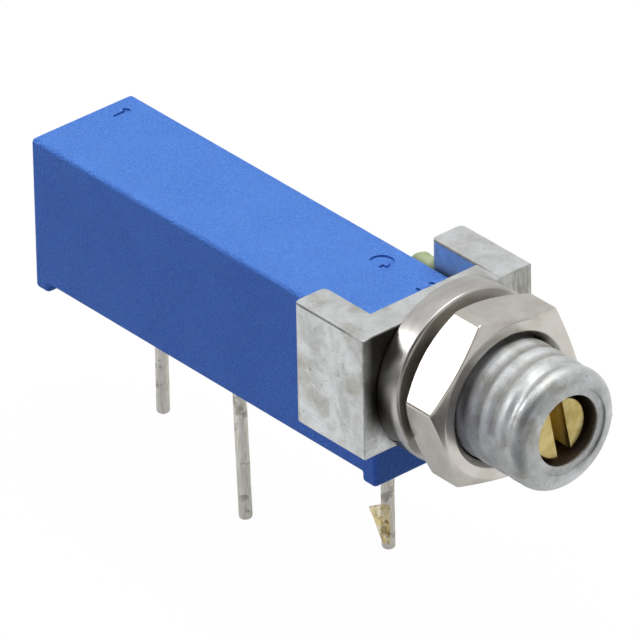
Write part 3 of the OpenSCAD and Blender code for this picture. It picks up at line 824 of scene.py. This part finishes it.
def blade(name, rear, front, width, reach):
    # a flat box through the axis, turned as the slot in the photo is
    obj = box(name, (rear, front), (-width / 2, width / 2), (-reach, reach))
    obj.data.transform(Matrix.Rotation(math.radians(shaftSizes["turn"]), 4, "X"))
    return obj


def buildShaft():
    s = shaftSizes
    rear, front = s["collarRear"], s["collarFront"]
    profile = softCorners([(rear, 0.001), (rear, s["collar"]), (front, s["collar"]), (front, s["radius"]),
                           (s["face"], s["radius"]), (s["face"], 0.001)],
                          [0.05, 0.05, 0, 0.06])
    shaft = skin("slottedShaft", turnedRings(profile, 128))
    cutAway(shaft, blade("driverSlot", s["face"] - s["slotDepth"], s["face"] + 1, s["slotWidth"], 2))
    roundEdges(shaft, 0.025, 2, 40)
    tongue = blade("tongue", s["tongueRear"], rear + 0.1, s["tongue"], s["tongueReach"])
    joinShells(shaft, roundEdges(tongue, 0.03, 2))
    smoothShade(shaft, 35)
    fitPiece(shaft, "screw", "shaft_brass", "extension_shaft")


def buildLeadScrew():
    s = screwSizes
    wall = [(x, s["thread"]) for x in np.arange(s["rear"] + 0.05, s["stopRear"] - 0.02, 0.06)]
    front = softCorners([wall[-1], (s["stopRear"], s["thread"]), (s["stopRear"], s["stopRadius"]),
                         (s["stopFront"], s["stopRadius"]), (s["stopFront"], s["neck"]),
                         (s["headRear"], s["neck"]), (s["headRear"], s["head"]),
                         (s["headFront"], s["head"]), (s["headFront"], 0.001)],
                        [0, 0.04, 0.04, 0, 0, 0.05, 0.05])
    end = s["journalEnd"]
    rear = [(end, 0.001), (end, s["journal"] - 0.05), (end + 0.05, s["journal"]), (s["rear"], s["journal"])]
    profile = rear + wall + front[1:]
    screw = skin("threadedScrew", turnedRings(profile, s["around"]))
    cutThread(screw, range(len(rear), len(rear) + len(wall)), s["around"], finishes["screw_brass"],
              Pitch=s["pitch"], Depth=s["depth"], Start=s["rear"], End=s["stopRear"],
              Fade_In=0.2, Fade_Out=0.3, Phase=0.0, Groove_Share=0.8, Seam_Half_Width=-1.0)
    cutAway(screw, blade("drivenSlot", s["headFront"] - s["slotDepth"], s["headFront"] + 1, s["slot"], 2))
    smoothShade(screw, 40)
    fitPiece(screw, "screw", "screw_brass", "lead_screw")


# pins, the sliver on the front one, and the bead of adhesive

pinSizes = {"radius": 0.255, "tip": -10.55, "feet": -4.87, "rim": -4.49, "plate": -2.79, "root": 0.56,
            "tipRound": 0.12, "wobble": 0.006, "around": 40}
# node, x and y at the feet's height, seed of the wobble, lean in degrees
pinPlaces = {"pinOne": ("pin_1", -17.6, 1.27, 1.0, 0.0), "pinTwo": ("pin_2", -10.14, -1.27, 5.0, 2.2),
             "pinThree": ("pin_3", -4.9, 1.27, 9.0, 0.0)}


def buildPin(name, node, x, y, seed, lean):
    s = pinSizes
    r = s["radius"]
    profile = [(s["tip"] + s["tipRound"] * (1 - math.cos(a)), r - s["tipRound"] * (1 - math.sin(a)))
               for a in np.linspace(0.25, math.pi / 2, 6)]
    profile += [(z, r) for z in np.arange(s["tip"] + s["tipRound"] + 0.1, s["rim"] + 0.05, 0.12)]
    rings = []
    for z, rr in profile + [(s["rim"] + 0.3, r)]:
        ring = []
        for a in np.linspace(0, 2 * math.pi, s["around"], endpoint=False):
            wobble = s["wobble"] * noise.noise(Vector((math.cos(a) * 1.5 + seed, math.sin(a) * 1.5, z * 0.9)))
            ring.append(((rr + wobble) * math.cos(a), (rr + wobble) * math.sin(a), z))
        rings.append(ring)
    pin = skin(name, rings)
    half = s["root"] / 2
    joinShells(pin, box("root", (-half, half), (-half, half), (s["rim"] + 0.01, s["plate"])))
    foot = Vector((0, 0, s["plate"]))
    turn = Matrix.Rotation(math.radians(-lean), 4, "Y")
    x -= (s["plate"] - s["feet"]) * math.tan(math.radians(lean))
    for v in pin.data.vertices:
        v.co = turn @ (v.co - foot * mm) + (foot + Vector((x, y, 0))) * mm
    smoothShade(pin, 50, weighted=False)
    fitPiece(pin, "base", "tinned_pin", node)


# the outline runs out from the pin and up from its low point
sliverSizes = {"pin": (-4.9, 1.27), "turn": 229, "thickness": 0.16, "low": -10.4, "onPin": 0.07,
               "ahead": 0.2, "unevenness": 0.03,
               "outline": [(0.05, 0.0), (0.16, 0.1), (0.3, 0.45), (0.42, 0.85), (0.53, 1.25), (0.62, 1.5),
                           (0.68, 1.62), (0.67, 1.74), (0.58, 1.78), (0.44, 1.72), (0.3, 1.74), (0.16, 1.86),
                           (0.05, 1.9)]}


def buildSliver():
    s = sliverSizes
    # the outline is filled with a grid that is thick in the middle and thin at its border
    outline = [Vector((u, v)) for u, v in s["outline"]]
    rings, across = [], 9
    low, high = outline[0].y, outline[-1].y
    for v in np.linspace(low + 0.02, high - 0.02, 26):
        reach = 0.06
        for a, b in zip(outline, outline[1:]):
            if min(a.y, b.y) <= v <= max(a.y, b.y) and abs(b.y - a.y) > 1e-6:
                reach = max(reach, a.x + (b.x - a.x) * (v - a.y) / (b.y - a.y))
        ring = []
        for side in (1, -1):
            for k in range(across):
                share = k / (across - 1) if side > 0 else 1 - k / (across - 1)
                u = (reach + s["onPin"]) * share - s["onPin"]
                thick = s["thickness"] / 2 * (1 - 0.75 * share ** 2)
                thick += s["unevenness"] * noise.noise(Vector((u * 5, v * 4, side)))
                end = min((v - low) / 0.25, (high - v) / 0.12, 1.0)
                ring.append((u, s["ahead"] + side * max(thick * (0.3 + 0.7 * end), 0.015), v + s["low"]))
        rings.append(ring)
    sliver = skin("resinSliver", rings)
    turn = Matrix.Rotation(math.radians(s["turn"]), 4, "Z")
    for v in sliver.data.vertices:
        v.co = turn @ v.co + Vector((*s["pin"], 0)) * mm
    smoothShade(sliver, 60, weighted=False)
    fitPiece(sliver, "base", "tan_resin", "resin_sliver")


beadSizes = {"power": 3.2, "unevenness": 0.05, "lumps": 1.7, "topShare": 0.9}


def buildBead():
    s = beadSizes
    low, high = (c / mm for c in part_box("adhesive_bead"))
    centre, half = (low + high) / 2, (high - low) / 2
    blob = bmesh.new()
    bmesh.ops.create_icosphere(blob, subdivisions=5, radius=1.0)
    for v in blob.verts:
        # a squarish round form, flat where it touches the housing and the arm
        p = v.co / sum(abs(c) ** s["power"] for c in v.co) ** (1 / s["power"])
        p *= 1 + s["unevenness"] * (noise.noise(p * s["lumps"]) - 1)
        p.z *= s["topShare"] if p.z > 0 else 1.0
        v.co = Vector((centre.x + p.x * half.x, centre.y + p.y * half.y, centre.z + p.z * half.z)) * mm
        v.co.x, v.co.y = min(v.co.x, high.x * mm), max(v.co.y, low.y * mm)
    mesh = bpy.data.meshes.new("adhesiveBead")
    blob.to_mesh(mesh)
    blob.free()
    bead = addObject("adhesiveBead", mesh)
    smoothShade(bead, 60, weighted=False)
    fitPiece(bead, "base", "adhesive", "adhesive_bead")


buildHousing()
buildBracket()
buildNut()
buildWasher()
buildShaft()
buildLeadScrew()
for name, places in pinPlaces.items():
    buildPin(name, *places)
buildSliver()
buildBead()
print("pieces made")

# the nodes that stay as they are take their finish by the record's slots
slotOf = {part["node"]: part["material_slot"] for part in record["subparts"]}
for nodeName, node in frame["nodes"].items():
    for place in node.material_slots:
        place.material = finishes[slotOf[nodeName]]
print("inner pieces dressed")


# floor, light and camera

studioSizes = {"floorZ": -10.6, "paperFront": 13.0, "bandEnd": 36.0, "paperLeft": -50.0, "paperFar": 400.0,
               "roomFar": 600.0, "cardAway": 150.0, "cardHalf": 50.0, "cardTop": 18.0, "hoodAway": 480.0,
               "hoodSize": 800.0, "fill": 0.1, "roomGlow": 0.75, "paperBounce": 0.4, "paperGlow": 0.93,
               "darkBounce": 0.03, "darkGlow": 0.07, "underGlow": 0.48, "seenWhite": 0.98,
               "shadeAside": (7 * mm, 10 * mm), "shadeBeyond": (14 * mm, 20 * mm)}
towardCamera = Vector((0.763, -0.647, 0.0))
acrossView = Vector((0.647, 0.763, 0.0))
cameraTurn = Matrix(((0.65400, -0.38284, 0.65247), (0.75633, 0.34916, -0.55322),
                     (-0.01603, 0.85529, 0.51790)))
cameraPlace = (0.266283, -0.231725, 0.215606)


def stagePaint(name, bounce, glossyGlow):
    # white to the camera; other rays see its own colour, or a share of white in metal and glass
    s = studioSizes
    material = bpy.data.materials.new(name)
    tree = emptyTree(material)
    output = tree.nodes.new("ShaderNodeOutputMaterial")
    path, calc = tree.nodes.new("ShaderNodeLightPath").outputs, partial(mathNode, tree)
    colour = calc("MULTIPLY_ADD", path["Is Camera Ray"], 0.9 - bounce, bounce)
    paper = addNode(tree, "ShaderNodeBsdfDiffuse", {"Color": colour})
    white = addNode(tree, "ShaderNodeEmission", {"Color": (1, 1, 1, 1), "Strength": 1.0})
    # painted shadow: under the object the paper's glow in reflections is dimmed
    where = tree.nodes.new("ShaderNodeTexCoord").outputs["Object"]
    x, y, z = addNode(tree, "ShaderNodeSeparateXYZ", {0: where}).outputs
    aside = calc("ABSOLUTE", calc("MULTIPLY_ADD", x, 0.25, calc("ADD", y, 3 * mm)))
    beyond = calc("ABSOLUTE", calc("ADD", x, 6 * mm))
    shade = calc("MAXIMUM", ramp(tree, aside, *s["shadeAside"], s["underGlow"]),
                 ramp(tree, beyond, *s["shadeBeyond"], s["underGlow"]))
    glow = product(tree, path["Is Glossy Ray"], glossyGlow, shade)
    glow = calc("MAXIMUM", glow, product(tree, path["Is Transmission Ray"], glossyGlow))
    share = calc("MULTIPLY_ADD", path["Is Camera Ray"], s["seenWhite"], glow)
    mix = addNode(tree, "ShaderNodeMixShader", {0: share, 1: paper.outputs[0], 2: white.outputs[0]})
    tree.links.new(mix.outputs[0], output.inputs[0])
    return material


def stageSheet(name, corners, paint, seen=True):
    mesh = bpy.data.meshes.new(name)
    mesh.from_pydata([c * mm for c in corners], [], [(0, 1, 2, 3)])
    mesh.materials.append(paint)
    sheet = addObject(name, mesh)
    sheet.visible_camera, sheet.visible_diffuse = seen, paint.name != "darkRoom"


def buildStudio():
    s = studioSizes
    low = Vector((0, 0, s["floorZ"]))

    def floorSheet(name, front, back, left, right, paint):
        ends = [(back, left), (front, left), (front, right), (back, right)]
        stageSheet(name, [low + towardCamera * a + acrossView * b for a, b in ends], paint)

    paper = stagePaint("whitePaper", s["paperBounce"], s["paperGlow"])
    dark = stagePaint("darkRoom", s["darkBounce"], s["darkGlow"])
    far, room = s["paperFar"], s["roomFar"]
    floorSheet("paperSheet", s["paperFront"], -far, s["paperLeft"], far, paper)
    floorSheet("tableFront", s["bandEnd"], s["paperFront"], -room, far, dark)
    floorSheet("paperBeyond", room, s["bandEnd"], -room, far, paper)
    floorSheet("tableLeft", s["paperFront"], -far, -room, s["paperLeft"], dark)
    # the dark hood round the camera, which polished metal shows
    across, up, back = cameraTurn.col
    centre, half = back * s["hoodAway"], s["hoodSize"] / 2
    stageSheet("cameraHood", [centre + across * a * half + up * b * half
                              for a, b in ((-1, -1), (1, -1), (1, 1), (-1, 1))], dark, seen=False)

    # a low dark card at the left, which shades the washer's rim
    side = Vector((-0.652, -0.757, 0)) * s["cardAway"]
    along = Vector((0.757, -0.652, 0)) * s["cardHalf"]
    top = Vector((0, 0, s["cardTop"]))
    stageSheet("darkCard", [side - along + low, side + along + low, side + along + top, side - along + top],
               dark, seen=False)

    world = bpy.data.worlds.new("studio")
    bpy.context.scene.world = world
    tree = emptyTree(world)
    output = tree.nodes.new("ShaderNodeOutputWorld")
    path, calc = tree.nodes.new("ShaderNodeLightPath").outputs, partial(mathNode, tree)
    seen = calc("MAXIMUM", path["Is Camera Ray"], path["Is Transmission Ray"])
    strength = calc("MULTIPLY_ADD", seen, 1.0 - s["fill"], s["fill"])
    strength = calc("MULTIPLY_ADD", path["Is Glossy Ray"], s["roomGlow"] - s["fill"], strength)
    background = addNode(tree, "ShaderNodeBackground", {"Color": (1, 1, 1, 1), "Strength": strength})
    tree.links.new(background.outputs[0], output.inputs[0])


# direction, distance, size, power, colour, and whether polished metal mirrors the light
softLights = {"overhead": ((0.0, 0.1, 1.0), 0.25, 0.2, 0.3, (1, 1, 1), True),
              "fillAbove": ((-0.1, 0.2, 1.0), 0.26, 0.3, 0.74, (1, 1, 1), False),
              "leftBank": ((-0.652, -0.62, 0.46), 0.2, 0.07, 0.09, (1, 1, 1), True),
              "coolSide": ((0.3, -0.9, 0.05), 0.26, 0.3, 0.22, (0.2, 0.25, 1.0), False)}
lightAim = Vector((-6, 0, -1)) * mm


def softLight(name, direction, distance, size, power, colour, mirrored):
    lamp = bpy.data.lights.new(name, "AREA")
    lamp.shape, lamp.size, lamp.energy, lamp.color = "SQUARE", size, power, colour
    obj = addObject(name, lamp)
    back = Vector(direction).normalized()
    obj.location = lightAim + back * distance
    obj.rotation_euler = back.to_track_quat("Z", "Y").to_euler()
    obj.visible_glossy = mirrored


buildStudio()
for name, values in softLights.items():
    softLight(name, *values)

camera = bpy.data.cameras.new("camera")
camera.sensor_fit, camera.sensor_width, camera.lens = "HORIZONTAL", 36.0, 653.92
camera.clip_start, camera.clip_end = 0.01, 20.0
cameraObject = addObject("camera", camera)
cameraObject.matrix_world = Matrix.Translation(cameraPlace) @ cameraTurn.to_4x4()
bpy.context.scene.camera = cameraObject
bpy.context.scene.view_settings.view_transform = "Standard"
print("studio and camera set")
